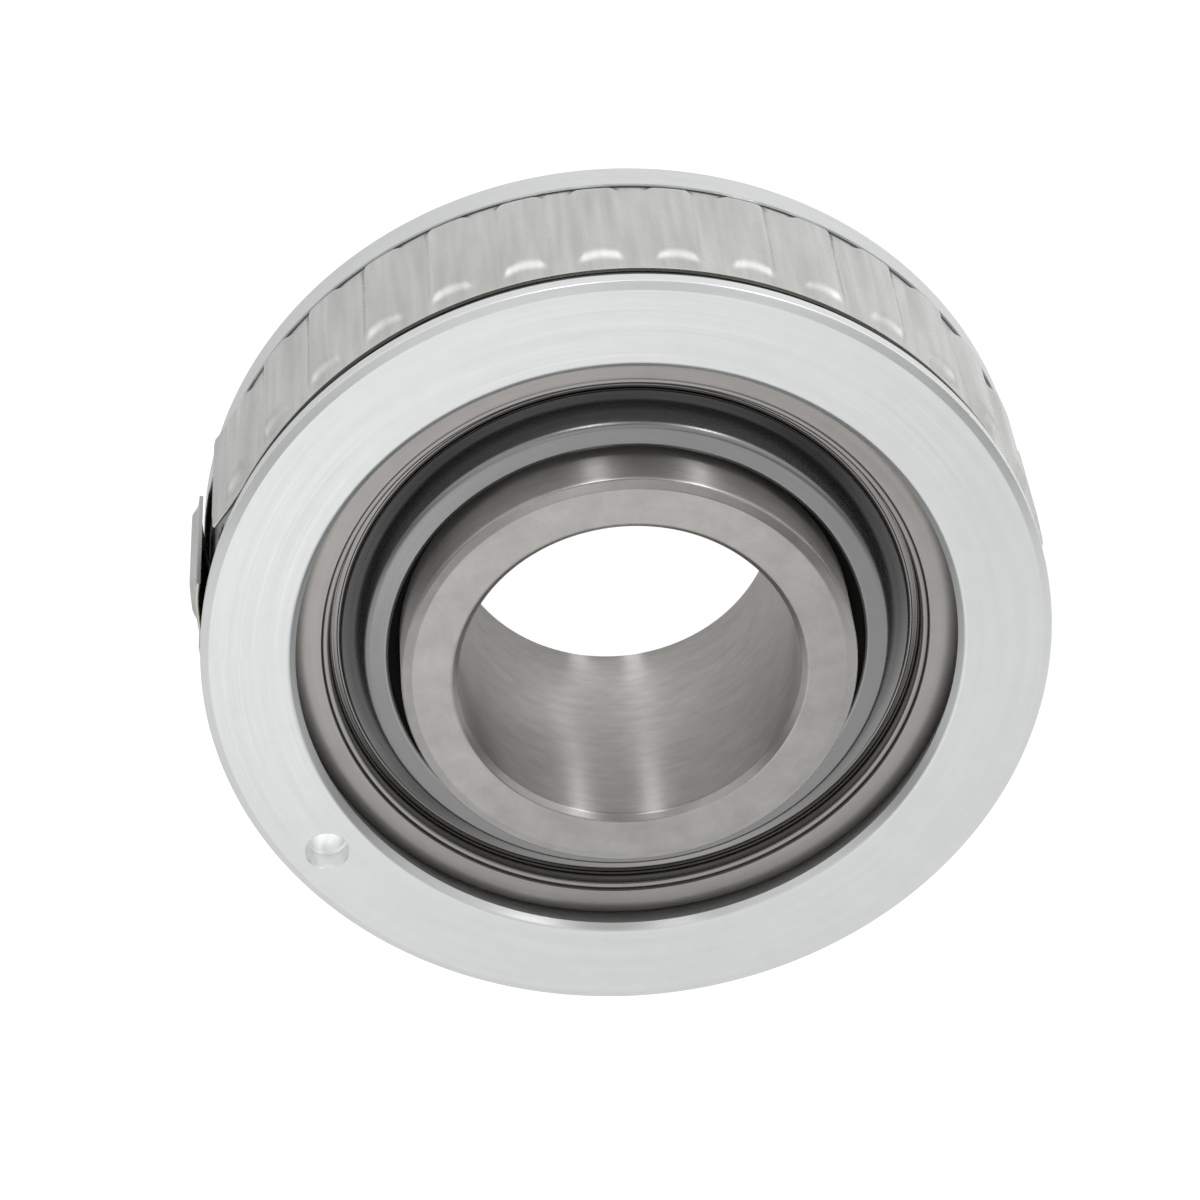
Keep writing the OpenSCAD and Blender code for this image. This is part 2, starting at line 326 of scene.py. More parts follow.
def turned_metal(name, color, tint, roughness, spread, marks, mark_depth, anisotropy, rings=0.55):
    """Metal turned or ground round the axis: fine rings, and a tint of broad rings and mottle."""
    n = Surface(name)
    n.metal(anisotropy)
    along = n.math("ADD", n.math("MULTIPLY", n.z, 1.37), n.r)
    fine = n.noise(n.combine(n.math("MULTIPLY", along, marks), n.math("MULTIPLY", n.angle, 0.9), 0.0),
                   1.0, 3.0, 0.6)
    broad = n.noise(n.combine(n.math("MULTIPLY", along, marks * 0.13),
                              n.math("MULTIPLY", n.angle, 1.6), 3.0), 1.0, 2.0)
    mottle = n.noise(n.combine(n.math("MULTIPLY", n.x, 0.35), n.math("MULTIPLY", n.y, 0.35), n.z),
                     1.0, 4.0, 0.6)
    shade = n.math("ADD", n.math("MULTIPLY", broad, rings), n.math("MULTIPLY", mottle, 1 - rings))
    n.tint(color, tint, n.ramp(shade, 0.0, 1.0))
    n.put(n.shader.inputs["Roughness"], n.ramp(fine, roughness - spread, roughness + spread))
    n.bump(fine, mark_depth)
    return n


def dull_faces(n, roughness, anisotropy):
    """Gives the flat faces a plainer finish than the walls round the axis."""
    normal = n.add("SeparateXYZ", {"Vector": n.add("TexCoord").outputs["Normal"]}).outputs["Z"]
    flat = n.between(n.math("ABSOLUTE", normal), 0.45, 0.75)
    for name, value in (("Roughness", roughness), ("Anisotropic", anisotropy)):
        socket = n.shader.inputs[name]
        wall = socket.links[0].from_socket if socket.links else socket.default_value
        n.put(socket, n.mixed(flat, wall, value))


# Depths under the carrier's outside where the painted shade on the groove's walls starts, is full, thins
# and ends.
GROOVE_SHADE_START, GROOVE_SHADE_FULL, GROOVE_SHADE_THIN, GROOVE_SHADE_END = 0.12, 0.3, 1.2, 1.5
GROOVE_SHADE_FACE_GAP = 1.0
# How far past the dimple's edge and below the face the painted light inside the dimple reaches.
DIMPLE_LIGHT_PAST = 0.03
DIMPLE_LIGHT_UNDER = 0.06


def aluminium():
    """Turned aluminium, with painted shade on the walls of the strip's groove and painted light in the
    drilled dimple.
    """
    n = turned_metal("turned_aluminium", (0.64, 0.655, 0.65), 0.04, roughness=0.36, spread=0.06,
                     marks=7.0, mark_depth=0.0022, anisotropy=0.6)
    # Painted shade: the walls of the strip's groove get a dark grey, standing in for the shade between the
    # strip and the carrier.
    deep = n.between(n.r, CARRIER_R - GROOVE_SHADE_START, CARRIER_R - GROOVE_SHADE_FULL)
    outside = n.between(n.r, CARRIER_R - GROOVE_SHADE_END, CARRIER_R - GROOVE_SHADE_THIN)
    under = n.math("LESS_THAN", n.math("ABSOLUTE", n.z), CARRIER_FACE - GROOVE_SHADE_FACE_GAP)
    n.stain((0.19, 0.195, 0.20), n.math("MULTIPLY", n.math("MULTIPLY", deep, outside), under))
    # Painted light: the inside of the drilled dimple is made near white, lifting the shade of its walls and
    # floor.
    off = n.length(n.math("SUBTRACT", n.x, DIMPLE_PLACE.x), n.math("SUBTRACT", n.y, DIMPLE_PLACE.y))
    near = n.math("LESS_THAN", off, DIMPLE_DIMS["r_mm"] + DIMPLE_LIGHT_PAST)
    below = n.math("LESS_THAN", n.z, CARRIER_FACE - DIMPLE_LIGHT_UNDER)
    n.stain((0.97, 0.975, 0.975), n.math("MULTIPLY", near, below))
    return n.material


def race_steel():
    return turned_metal("ground_race_steel", (0.37, 0.355, 0.34), 0.07, roughness=0.36, spread=0.05,
                        marks=9.0, mark_depth=0.0010, anisotropy=0.9).material


def ring_steel():
    n = turned_metal("ground_ring_steel", (0.335, 0.328, 0.316), 0.10, roughness=0.44, spread=0.04,
                     marks=9.0, mark_depth=0.0005, anisotropy=1.0, rings=0.12)
    dull_faces(n, 0.27, 0.3)
    return n.material


def seal_steel():
    """Pressed steel, with painted light making the flange lighter than the cone."""
    n = turned_metal("pressed_seal_steel", (0.25, 0.25, 0.25), 0.05, roughness=0.26, spread=0.04,
                     marks=5.0, mark_depth=0.0008, anisotropy=0.0)
    flange_in_r = CASE_OUT_R - FLANGE_W
    # Painted light: the flange, rim and bead of the same sheet are given a lighter colour than the cone,
    # for how light falls on them.
    n.stain((0.28, 0.275, 0.27), n.between(n.r, flange_in_r - 0.3, flange_in_r + 0.4))
    return n.material


def strip_steel():
    """Cold-rolled stainless strip, with rolling marks along it and faint stretch marks on the waves."""
    n = Surface("rolled_strip")
    n.metal()
    around = n.math("MULTIPLY", n.angle, CREST_R)

    def marks(scale_around, scale_along, third, detail):
        place = n.combine(n.math("MULTIPLY", around, scale_around),
                          n.math("MULTIPLY", n.z, scale_along), third)
        return n.noise(place, 1.0, detail)

    rolling = marks(0.12, 9.0, 0.0, 3.0)
    stretch = marks(0.8, 0.07, 7.0, 1.0)
    mottle = marks(0.5, 0.5, n.r, 3.0)
    shade = n.math("ADD", n.math("MULTIPLY", stretch, 0.85), n.math("MULTIPLY", mottle, 0.15))
    n.tint((0.50, 0.50, 0.485), 0.11, n.ramp(shade, 0.0, 1.0))
    middle, half = (BAND_HIGH + BAND_LOW) / 2, (BAND_HIGH - BAND_LOW) / 2
    from_middle = n.math("ABSOLUTE", n.math("SUBTRACT", n.z, middle))
    n.stain((0.50, 0.49, 0.43), n.between(from_middle, half - 0.05, half - 0.02))
    n.put(n.shader.inputs["Roughness"], n.ramp(mottle, 0.23, 0.32))
    n.bump(n.math("ADD", n.math("MULTIPLY", rolling, 0.06), stretch), 0.0014)
    return n.material


def rubber():
    n = Surface("nitrile_rubber")
    grain = n.noise(n.combine(n.x, n.y, n.z), 6.0, 4.0, 0.6)
    n.tint((0.022, 0.021, 0.020), 0.3, grain)
    n.put(n.shader.inputs["Roughness"], n.ramp(grain, 0.42, 0.6))
    n.shader.inputs["Specular IOR Level"].default_value = 0.35
    n.bump(grain, 0.01)
    return n.material


def polished_steel(name, color, roughness):
    """Hidden bright steel pieces: the balls, the cage and its rivets."""
    n = Surface(name)
    n.metal()
    cloud = n.noise(n.combine(n.x, n.y, n.z), 0.9, 4.0, 0.6)
    n.tint(color, 0.06, cloud)
    n.put(n.shader.inputs["Roughness"], n.ramp(cloud, roughness * 0.8, roughness * 1.2))
    n.bump(n.noise(n.combine(n.x, n.y, n.z), 7.0, 3.0), 0.002)
    return n.material


# ---------------------------------------------------------------- carrier

SEAT_CLEAR = 0.04
SEAT_R = RACE_R + SEAT_CLEAR
SEAT_CHAMFER = 0.7
SEAT_CHAMFER_ROUND = 0.5
CHAMFER_FACE = 0.85
CHAMFER_FACE_ROUND = 0.10
CHAMFER_SIDE = 0.4
CHAMFER_SIDE_ROUND = 0.16
BAND_CLEAR = 0.08
FLOOR_R = BAND_IN_R - BAND_CLEAR
GROOVE_TOP = BAND_HIGH + 1.7
GROOVE_LOW = BAND_LOW - 0.1
GROOVE_EDGE_ROUND = 0.08
GROOVE_FLOOR_ROUND = 0.20
SEAT_GROOVE_DEPTH = 0.6
SEAT_GROOVE_MARGIN = 0.45
SEAT_GROOVE_ROUND = 0.12
DIMPLE_EDGE = 0.08
DIMPLE_POINT_R = 0.3
DIMPLE_POINT_DEPTH = 0.05
GREASE_EDGE = 0.15
SLOT_CLEAR = 0.2
CUT_PAST = 1.0


def seat_arc(low, high, steps):
    """The spherical seat between two heights."""
    start, end = (math.degrees(math.asin(z / SEAT_R)) for z in (low, high))
    return arc(0, 0, SEAT_R, start, end, steps)


def carrier_outline():
    """The outside with the strip's groove, and the spherical seat with its grease groove."""
    mouth_z = CARRIER_FACE - SEAT_CHAMFER
    face_in_r = MOUTH_R + SEAT_CHAMFER
    face_out_r = CARRIER_R - CHAMFER_FACE
    side_z = CARRIER_FACE - CHAMFER_SIDE
    seat_groove_half = GREASE_DIMS["r_mm"] + SEAT_GROOVE_MARGIN
    seat_groove_low, seat_groove_top = GREASE_Z - seat_groove_half, GREASE_Z + seat_groove_half
    seat_groove_r = SEAT_R + SEAT_GROOVE_DEPTH
    outside = [
        (face_in_r, CARRIER_FACE, SEAT_CHAMFER_ROUND),
        (face_out_r, CARRIER_FACE, CHAMFER_FACE_ROUND),
        (CARRIER_R, side_z, CHAMFER_SIDE_ROUND),
        (CARRIER_R, GROOVE_TOP, GROOVE_EDGE_ROUND),
        (FLOOR_R, GROOVE_TOP, GROOVE_FLOOR_ROUND),
        (FLOOR_R, GROOVE_LOW, GROOVE_FLOOR_ROUND),
        (CARRIER_R, GROOVE_LOW, GROOVE_EDGE_ROUND),
        (CARRIER_R, -side_z, CHAMFER_SIDE_ROUND),
        (face_out_r, -CARRIER_FACE, CHAMFER_FACE_ROUND),
        (face_in_r, -CARRIER_FACE, SEAT_CHAMFER_ROUND),
    ]
    seat = seat_arc(-mouth_z, seat_groove_low, 24)
    seat += [(seat_groove_r, z, SEAT_GROOVE_ROUND) for z in (seat_groove_low, seat_groove_top)]
    seat += seat_arc(seat_groove_top, mouth_z, 8)
    return outside + seat


def dimple_cutter():
    """A blind hole with a nearly flat floor, a corner left by the drill and a broken edge."""
    r, depth, edge = DIMPLE_DIMS["r_mm"], DIMPLE_DIMS["length_mm"], DIMPLE_EDGE
    point = -depth - DIMPLE_POINT_DEPTH
    outline = [(0, point), (DIMPLE_POINT_R, point), (r - 0.25, -depth), (r, 0.2 - depth),
               (r, -edge), (r + edge, 0), (r + edge, CUT_PAST), (0, CUT_PAST)]
    cutter = spin("dimple_cutter", outline, 64)
    place_along(cutter, (DIMPLE_PLACE.x, DIMPLE_PLACE.y, CARRIER_FACE), (0, 0, 1))
    return cutter


def grease_cutter():
    """The grease hole from the strip's groove to the seat, with a broken edge at the groove."""
    r, edge = GREASE_DIMS["r_mm"], GREASE_EDGE
    outline = [(0, SEAT_R - CUT_PAST), (r, SEAT_R - CUT_PAST), (r, FLOOR_R - edge), (r + edge, FLOOR_R),
               (r + edge, CARRIER_R), (0, CARRIER_R)]
    cutter = spin("grease_cutter", outline, 48)
    place_along(cutter, (0, 0, GREASE_Z), polar(1, SPLIT_ANGLE))
    return cutter


def slot_cutter():
    """The loading slots at the rear, one at each side."""
    half_w = RACE_FACE + SLOT_CLEAR
    slot_r = SEAT_R + SLOT_CLEAR
    barrel = spin("slot_cutter", [(0, -CARRIER_FACE - CUT_PAST), (slot_r, -CARRIER_FACE - CUT_PAST),
                                  (slot_r, SLOT_CLEAR), (0, SLOT_CLEAR)], 240)
    far = slot_r + CUT_PAST
    bar = box_solid("slot_bar", (-far, -half_w, -CARRIER_FACE - 2 * CUT_PAST), (far, half_w, CUT_PAST))
    combine(barrel, [bar], "INTERSECT")
    return barrel


def carrier(material):
    piece = spin("carrier_body", rounded(carrier_outline()), 480)
    combine(piece, [dimple_cutter(), grease_cutter(), slot_cutter()], "DIFFERENCE")
    install(piece, "carrier", ["carrier"], material)


# ---------------------------------------------------------------- races

RING_CHAMFER_FACE = 1.1
RING_FACE_ROUND = 0.6
RING_CHAMFER_SIDE = 0.5
RING_SIDE_ROUND = 0.5
BORE_CHAMFER = 0.7
BORE_FACE_ROUND = 0.35
BORE_SIDE_ROUND = 0.4
GROOVE_CLEAR = 0.04
RACE_CORNER = 0.9
RACE_CORNER_ROUND = 2.4
RACE_FACE_ROUND = 0.10
SEAL_CLEAR = 0.02
SEAL_SEAT_ROUND = 0.08
SHOULDER_ROUND = 0.15
LUBE_COUNT = 3
LUBE_R = 0.8


def inner_ring(material):
    groove_r = BALL_R + GROOVE_CLEAR
    reach = math.degrees(math.acos((PITCH_R - RING_R) / groove_r))
    end = RING_END
    outline = [
        (BORE_R + BORE_CHAMFER, -end, BORE_FACE_ROUND),
        (RING_R - RING_CHAMFER_FACE, -end, RING_FACE_ROUND),
        (RING_R, RING_CHAMFER_SIDE - end, RING_SIDE_ROUND),
    ]
    outline += arc(PITCH_R, 0, groove_r, 180 + reach, 180 - reach, 28)
    outline += [
        (RING_R, end - RING_CHAMFER_SIDE, RING_SIDE_ROUND),
        (RING_R - RING_CHAMFER_FACE, end, RING_FACE_ROUND),
        (BORE_R + BORE_CHAMFER, end, BORE_FACE_ROUND),
        (BORE_R, end - BORE_CHAMFER, BORE_SIDE_ROUND),
        (BORE_R, BORE_CHAMFER - end, BORE_SIDE_ROUND),
    ]
    piece = spin("inner_ring_body", rounded(outline, steps=6))
    install(piece, "inner_ring", ["inner_ring"], material)


def lube_cutter(i):
    cutter = spin("lube_cutter", [(0, SHOULDER_R - CUT_PAST), (LUBE_R, SHOULDER_R - CUT_PAST),
                                  (LUBE_R, RACE_R + CUT_PAST), (0, RACE_R + CUT_PAST)], 32)
    place_along(cutter, (0, 0, GREASE_Z), polar(1, 360 / LUBE_COUNT * i))
    return cutter


def outer_race(material):
    groove_r = BALL_R + GROOVE_CLEAR
    reach = math.degrees(math.acos((SHOULDER_R - PITCH_R) / groove_r))
    corner_r = math.sqrt(RACE_R ** 2 - RACE_FACE ** 2)
    # The chamfer falls at 45 degrees from the face to the sphere.
    line = corner_r - RACE_CORNER + RACE_FACE
    edge_z = (line - math.sqrt(2 * RACE_R ** 2 - line ** 2)) / 2
    edge_angle = math.degrees(math.asin(edge_z / RACE_R))
    seal_r = CASE_OUT_R + SEAL_CLEAR
    outline = [
        (seal_r, RACE_FACE, RACE_FACE_ROUND),
        (seal_r, SEAL_BASE, SEAL_SEAT_ROUND),
        (SHOULDER_R, SEAL_BASE, SHOULDER_ROUND),
    ]
    outline += arc(PITCH_R, 0, groove_r, reach, -reach, 28)
    outline += [
        (SHOULDER_R, -SEAL_BASE, SHOULDER_ROUND),
        (seal_r, -SEAL_BASE, SEAL_SEAT_ROUND),
        (seal_r, -RACE_FACE, RACE_FACE_ROUND),
        (corner_r - RACE_CORNER, -RACE_FACE, RACE_CORNER_ROUND),
    ]
    outline += arc(0, 0, RACE_R, -edge_angle, edge_angle, 40)
    outline += [(corner_r - RACE_CORNER, RACE_FACE, RACE_CORNER_ROUND)]
    piece = spin("outer_race_body", rounded(outline, steps=6))
    combine(piece, [lube_cutter(i) for i in range(LUBE_COUNT)], "DIFFERENCE")
    install(piece, "outer_race", ["outer_race"], material)


# ---------------------------------------------------------------- seals

SHEET_T = 0.5
CHANNEL_W = 0.8
RIM_W = 0.75
FLANGE_W = 2.6
LAND_W = 2.35
LAND_FALL = 0.35


def seal_case(side, material):
    """The pressed steel case: a rolled rim, a channel, a bead, a steep cone and a rounded land."""
    channel_out_r = CASE_OUT_R - RIM_W
    channel_in_r = channel_out_r - CHANNEL_W
    flange_in_r = CASE_OUT_R - FLANGE_W
    land_out_r = CASE_IN_R + LAND_W
    rim_z = RACE_FACE - 0.3
    channel_z = SEAL_BASE + 0.6
    bead_z = SEAL_BASE + 1.25
    outline = [
        (CASE_OUT_R, SEAL_BASE, 0.1),
        (CASE_OUT_R, rim_z, 0.3),
        (channel_out_r, rim_z, 0.3),
        (channel_out_r, channel_z, 0.25),
        (channel_in_r, channel_z, 0.2),
        (channel_in_r, bead_z, 0.3),
        (flange_in_r, channel_z, 0.4),
        (land_out_r, SEAL_TOP - LAND_FALL, 0.9),
        (CASE_IN_R + 0.3, SEAL_TOP, 0.8),
        (CASE_IN_R, SEAL_TOP - 0.12, 0.1),
        (CASE_IN_R, SEAL_TOP - SHEET_T, 0.1),
        (land_out_r - SHEET_T, SEAL_TOP - LAND_FALL - SHEET_T, 0.4),
        (flange_in_r - SHEET_T * 0.6, SEAL_BASE, 0.1),
    ]
    piece = spin("seal_case_%s_body" % side, rounded(outline, steps=6))
    if side == "rear":
        piece.data.transform(Matrix.Rotation(math.pi, 4, "X"))
    install(piece, "outer_race", ["seal_case_" + side], material)


def seal_lip(side, material):
    """The moulded lip: a heel under the land and a thin edge that leans in to the ring."""
    heel_z = LIP_LOW + 1.3
    top = SEAL_TOP - SHEET_T
    under = LAND_FALL * (LIP_OUT_R - CASE_IN_R) / (LAND_W - SHEET_T)
    outline = [
        (CASE_IN_R, top, 0.05),
        (LIP_OUT_R, top - under, 0.1),
        (LIP_OUT_R, heel_z, 0.3),
        (CASE_IN_R, heel_z - 0.2, 0.3),
        (LIP_TIP_R, LIP_LOW, 0.1),
        (LIP_TIP_R, LIP_LOW + 0.4, 0.1),
        (CASE_IN_R - 0.1, heel_z + 0.6, 0.3),
    ]
    piece = spin("seal_lip_%s_body" % side, rounded(outline, steps=4), 240)
    if side == "rear":
        piece.data.transform(Matrix.Rotation(math.pi, 4, "X"))
    install(piece, "outer_race", ["seal_lip_" + side], material)


# ---------------------------------------------------------------- tolerance ring

PITCH_COUNT = 36
BAND_T = 0.4
SPLIT_W = 9.0
CREST_FLAT = 0.40
CREST_FOOT = 0.78
CROWN = 0.12
RIM_FLAT = 0.65
ARCH_START = 0.9
ARCH_RUN = 2.2
ARCH_LEAST = 1.1
REAR_FLAT = 0.1
REAR_RUN = 1.3
WAVE_EXTRA = 0.10
WAVE_SOFT = 0.02
PHASE = 0.4
COLUMNS = 32
ROWS_AT_END = 14
ROWS_BETWEEN = 5
EDGE_ROUND = 0.07
LOW_END_LIFT = 1.15
LOW_END_RUN = 13.0
HIGH_END_LIFT = 1.1
HIGH_END_RUN = 7.0


def smooth(t):
    t = min(max(t, 0.0), 1.0)
    return t * t * (3 - 2 * t)


def soft_floor(h, soft):
    """max(h, 0) with a rounded corner."""
    return 0.5 * (h + math.sqrt(h * h + 4 * soft * soft)) - soft * 0.5


def wave_height(angle, z):
    """How far the strip's outside stands out of its base at an angle in degrees and a height.

    Each wave is a crowned panel with rounded shoulders. It slopes down to the front rim inside an arch,
    and more steeply to the rear rim.
    """
    pitch = 360 / PITCH_COUNT
    full = CREST_R - BAND_IN_R - BAND_T + WAVE_EXTRA
    turn = (angle - PHASE) / pitch
    across = abs(turn - math.floor(turn) - 0.5) * 2
    panel = (1 - CROWN * across ** 2) * smooth((CREST_FOOT - across) / (CREST_FOOT - CREST_FLAT))
    arch = max(1 - (across / CREST_FOOT) ** 2, 0.0)
    run = ARCH_LEAST + (ARCH_RUN - ARCH_LEAST) * arch
    front = smooth((BAND_HIGH - z - RIM_FLAT - ARCH_START * arch) / run)
    rear = smooth((z - BAND_LOW - REAR_FLAT) / REAR_RUN)
    return min(soft_floor(full * panel * front * rear, WAVE_SOFT), full)


def end_lift(angle):
    """How far the two free ends of the strip spring out of the groove, at an angle in degrees."""
    past_low = angle - (SPLIT_ANGLE + SPLIT_W / 2)
    past_high = (SPLIT_ANGLE - SPLIT_W / 2 + 360) - angle
    lift = 0.0
    if past_low < LOW_END_RUN:
        lift += LOW_END_LIFT * math.cos(math.pi / 2 * past_low / LOW_END_RUN) ** 2
    if past_high < HIGH_END_RUN:
        lift += HIGH_END_LIFT * (1 - past_high / HIGH_END_RUN) ** 1.5
    return lift


def band_point(angle, z):
    r = BAND_IN_R + BAND_T + wave_height(angle, z) + end_lift(angle)
    return polar(r, angle, z)


def band_rows():
    """Heights of the grid's rows, close together over the wave ends."""
    fine = RIM_FLAT + ARCH_START + ARCH_RUN + 0.3
    low = [BAND_LOW + EDGE_ROUND + (fine - EDGE_ROUND) * k / ROWS_AT_END for k in range(ROWS_AT_END)]
    high = [BAND_HIGH - (z - BAND_LOW) for z in reversed(low)]
    start, end = BAND_LOW + fine, BAND_HIGH - fine
    middle = [start + (end - start) * k / ROWS_BETWEEN for k in range(ROWS_BETWEEN + 1)]
    return low + middle + high


def edge_points(outside, inside, normal, side):
    """The rounded edge from an outside to an inside point; side is 1 at the top and -1 at the foot."""
    lift = Vector((0, 0, EDGE_ROUND * side))
    back = normal * EDGE_ROUND
    return [outside + lift * 0.7 - back * 0.3, outside + lift - back,
            inside + lift + back, inside + lift * 0.7 + back * 0.3]


def section(outside, normals):
    """The strip's section: up the outside, over the top, down the inside and round the foot."""
    inside = [p - n * BAND_T for p, n in zip(outside, normals)]
    top = edge_points(outside[-1], inside[-1], normals[-1], 1)
    foot = edge_points(outside[0], inside[0], normals[0], -1)
    return outside + top + inside[::-1] + foot[::-1]


def end_cap(base, rows):
    """Faces over a section that starts at vertex base, with rows points up each side."""
    pairs = [(base + j, base + 2 * rows + 3 - j) for j in range(rows)]
    across = [[a, b, d, c] for (a, b), (c, d) in zip(pairs, pairs[1:])]
    top = [base + rows - 1 + k for k in range(6)]
    foot = [base + 2 * rows + 3 + k for k in range(5)] + [base]
    return across + [top[::-1], foot[::-1]]


def tolerance_ring(material):
    """The corrugated strip: a grid of points on its outside, given a thickness and closed all round."""
    first = SPLIT_ANGLE + SPLIT_W / 2
    last = SPLIT_ANGLE - SPLIT_W / 2 + 360
    count = round((last - first) / (360 / PITCH_COUNT) * COLUMNS)
    angles = [first + (last - first) * k / count for k in range(count + 1)]
    heights = band_rows()
    rows = len(heights)
    outside = [[band_point(a, z) for z in heights] for a in angles]

    def normal(i, j):
        along = outside[min(i + 1, count)][j] - outside[max(i - 1, 0)][j]
        up = outside[i][min(j + 1, rows - 1)] - outside[i][max(j - 1, 0)]
        return along.cross(up).normalized()

    sections = [section(outside[i], [normal(i, j) for j in range(rows)]) for i in range(count + 1)]
    size = len(sections[0])
    faces = []
    for i in range(count):
        low, high = i * size, (i + 1) * size
        for j in range(size):
            k = (j + 1) % size
            faces.append((low + j, high + j, high + k, low + k))
    faces += end_cap(0, rows)
    faces += [face[::-1] for face in end_cap(count * size, rows)]
    mesh = bpy.data.meshes.new("tolerance_ring_body")
    mesh.from_pydata([tuple(p * MM) for points in sections for p in points], [], faces)
    finish_mesh(mesh, sharp=40)
    piece = new_object("tolerance_ring_body", mesh)
    install(piece, "tolerance_ring", ["tolerance_ring"], material)


# ---------------------------------------------------------------- pieces that keep their CAD shape

def paint_nodes(prefix, material):
    for name, node in frame["nodes"].items():
        if name.startswith(prefix):
            node.data.materials.clear()
            node.data.materials.append(material)
            node.data.shade_smooth()
            node.data.set_sharp_from_angle(angle=math.radians(30))


# ---------------------------------------------------------------- studio

AIM = Vector((-2.9, 5.0, 9.0))
CAMERA_AZIMUTH = 97.52
CAMERA_ELEVATION = 57.43
CAMERA_ROLL = 173.65
CAMERA_DISTANCE = 440.8
CAMERA_LENS = 129.0


def direction(azimuth, elevation):
    a, e = math.radians(azimuth), math.radians(elevation)
    return Vector((math.cos(e) * math.cos(a), math.cos(e) * math.sin(a), math.sin(e)))


def facing(place, aim, roll=0.0):
    """The matrix of a camera or light at place that looks at aim, both in mm."""
    turn = (aim - place).to_track_quat("-Z", "Y").to_matrix().to_4x4()
    spin_round = Matrix.Rotation(math.radians(roll), 4, "Z")
    return Matrix.Translation(place * MM) @ turn @ spin_round


def camera():
    data = bpy.data.cameras.new("photo_camera")
    data.lens = CAMERA_LENS
    data.sensor_width = 36.0
    data.clip_start = 0.01
    data.clip_end = 20.0
    eye = bpy.data.objects.new("photo_camera", data)
    place = AIM + direction(CAMERA_AZIMUTH, CAMERA_ELEVATION) * CAMERA_DISTANCE
    eye.matrix_world = facing(place, AIM, CAMERA_ROLL)
    bpy.context.scene.collection.objects.link(eye)
    bpy.context.scene.camera = eye


def soft_light(name, azimuth, elevation, distance, size, radiance):
    """A soft light; size is its width and length in mm, and radiance its brightness beside the sky's."""
    data = bpy.data.lights.new(name, "AREA")
    data.shape = "RECTANGLE"
    data.size, data.size_y = size[0] * MM, size[1] * MM
    data.energy = radiance * math.pi * data.size * data.size_y
    lamp = bpy.data.objects.new(name, data)
    lamp.matrix_world = facing(direction(azimuth, elevation) * distance, Vector((0, 0, 0)))
    bpy.context.scene.collection.objects.link(lamp)


LAMP_AZIMUTHS = (62.0, 102.0)
LAMP_ELEVATION = 15
LAMP_DISTANCE = 900
LAMP_SIZE = (60, 440)
LAMP_RADIANCE = 17.0
SKY = 0.95
OPENING_SHADE = 0.35
OPENING_INSIDE = 0.06
OPENING_OUTSIDE = 0.35
DESK_AT = (92.0, 33.0)
DESK_EDGE = 0.86
DESK_MIDDLE = 0.97
DESK_SHADE = 0.45


def world():
    """A white tent, dimmer along the opening in front of the part and where the desk shows in it."""
    backdrop = bpy.data.worlds.new("studio")
    backdrop.use_nodes = True
    n = Nodes(backdrop.node_tree)
    way = n.add("TexCoord").outputs["Generated"]
    off = n.math("ABSOLUTE", n.add("SeparateXYZ", {"Vector": way}).outputs["Y"])
    opening = n.between(off, OPENING_INSIDE, OPENING_OUTSIDE, SKY * OPENING_SHADE, SKY)
    toward = n.add("VectorMath", {0: way, 1: direction(*DESK_AT)}, operation="DOT_PRODUCT").outputs["Value"]
    desk = n.between(toward, DESK_EDGE, DESK_MIDDLE, 1.0, DESK_SHADE)
    seen = n.add("LightPath").outputs["Is Camera Ray"]
    background = n.tree.nodes["Background"]
    background.inputs["Color"].default_value = (1, 1, 1, 1)
    n.put(background.inputs["Strength"], n.mixed(seen, n.math("MULTIPLY", opening, desk), 1.0))
    bpy.context.scene.world = backdrop


FLOOR_HALF = 3000.0
FLOOR_T = 20.0
FLOOR_DROP = 0.01
FLOOR_ALBEDO = 0.2
FLOOR_SEEN = 0.97
GLOW_NEAR, NEAR_R = 0.66, 1.9 * CARRIER_R
GLOW_FAR, FAR_R = 1.5, 3.8 * CARRIER_R
GLOW_UNDER_BORE = 1.3
UNDER_R, UNDER_END_R = 1.2 * BORE_R, 1.8 * BORE_R
GLOW_SIDE = 0.55
GLOW_AZIMUTH = 62.0
STREAK_GLOW = 2.2
STREAK_W, STREAK_CORE_W = 1.3, 0.26
STREAK_R, STREAK_END_R = 1.05 * BORE_R, 1.2 * BORE_R


def streak(n, azimuth):
    """1 along the floor's line that mirrors a lamp in the bore's wall, and 0 beside it."""
    start = polar(BORE_R, (azimuth + CAMERA_AZIMUTH) / 2 - 180)
    along = direction(azimuth, 0)
    off = n.math("SUBTRACT", n.math("MULTIPLY", n.math("SUBTRACT", n.x, start.x), along.y),
                 n.math("MULTIPLY", n.math("SUBTRACT", n.y, start.y), along.x))
    return n.between(n.math("ABSOLUTE", off), STREAK_W, STREAK_CORE_W)


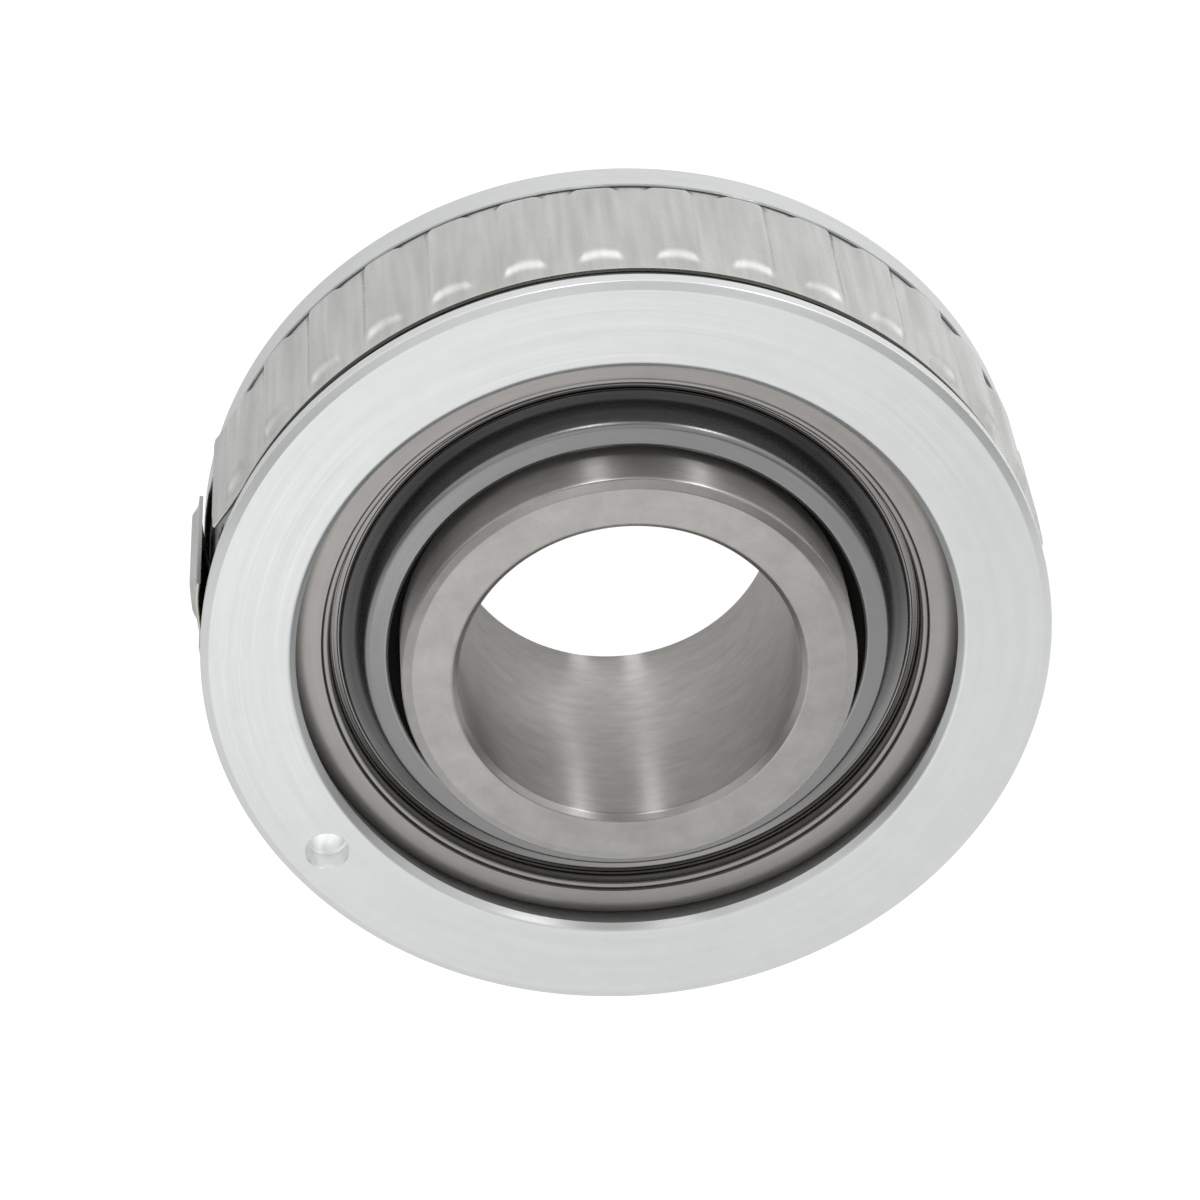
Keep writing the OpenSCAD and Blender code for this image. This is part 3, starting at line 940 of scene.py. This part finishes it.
def floor_glow(n):
    """The floor's own light: dimmer near the part, brighter under the bore and toward one side."""
    away = n.math("MULTIPLY", n.between(n.r, NEAR_R, FAR_R), GLOW_FAR - GLOW_NEAR)
    under = n.math("MULTIPLY", n.between(n.r, UNDER_END_R, UNDER_R), GLOW_UNDER_BORE - GLOW_NEAR)
    glow = n.math("ADD", n.math("ADD", away, under), GLOW_NEAR)
    inside = n.math("MULTIPLY", n.between(n.r, STREAK_END_R, STREAK_R), STREAK_GLOW)
    for azimuth in LAMP_AZIMUTHS:
        glow = n.math("ADD", glow, n.math("MULTIPLY", streak(n, azimuth), inside))
    bright = direction(GLOW_AZIMUTH, 0)
    toward = n.math("ADD", n.math("MULTIPLY", n.x, bright.x), n.math("MULTIPLY", n.y, bright.y))
    side = n.math("MULTIPLY", n.math("DIVIDE", toward, n.math("ADD", n.r, CARRIER_R)), GLOW_SIDE)
    return n.math("MULTIPLY", glow, n.math("ADD", side, 1.0))


def floor():
    """The tent's floor, lit from below, and plain white to the camera."""
    low = CAD_BOX[0][2] / MM
    plate = box_solid("studio_floor", (-FLOOR_HALF, -FLOOR_HALF, low - FLOOR_T),
                      (FLOOR_HALF, FLOOR_HALF, low - FLOOR_DROP))
    n = Surface("white_sweep")
    grain = n.noise(n.combine(n.x, n.y, n.z), 0.02, 3.0)
    n.tint((FLOOR_ALBEDO,) * 3, 0.02, grain)
    n.shader.inputs["Roughness"].default_value = 0.9
    n.shader.inputs["Emission Color"].default_value = (1, 1, 1, 1)
    seen = n.add("LightPath").outputs["Is Camera Ray"]
    n.put(n.shader.inputs["Emission Strength"], n.mixed(seen, floor_glow(n), FLOOR_SEEN))
    plate.data.materials.append(n.material)


def studio():
    world()
    floor()
    for name, azimuth in zip(("strip_right", "strip_near"), LAMP_AZIMUTHS):
        soft_light(name, azimuth, LAMP_ELEVATION, LAMP_DISTANCE, LAMP_SIZE, LAMP_RADIANCE)
    soft_light("soft_panel", 218, 78, 230, (240, 200), 0.45)
    camera()
    bpy.context.scene.view_settings.view_transform = "Standard"


carrier(aluminium())
inner_ring(ring_steel())
outer_race(race_steel())
case_metal, lip_rubber = seal_steel(), rubber()
for end in ("front", "rear"):
    seal_case(end, case_metal)
    seal_lip(end, lip_rubber)
tolerance_ring(strip_steel())
paint_nodes("ball_", polished_steel("lapped_balls", (0.72, 0.72, 0.73), 0.08))
for end in ("front", "rear"):
    paint_nodes("cage_" + end, polished_steel("pressed_cage_" + end, (0.5, 0.5, 0.49), 0.3))
paint_nodes("cage_rivets", polished_steel("rivet_wire", (0.42, 0.42, 0.41), 0.35))
studio()
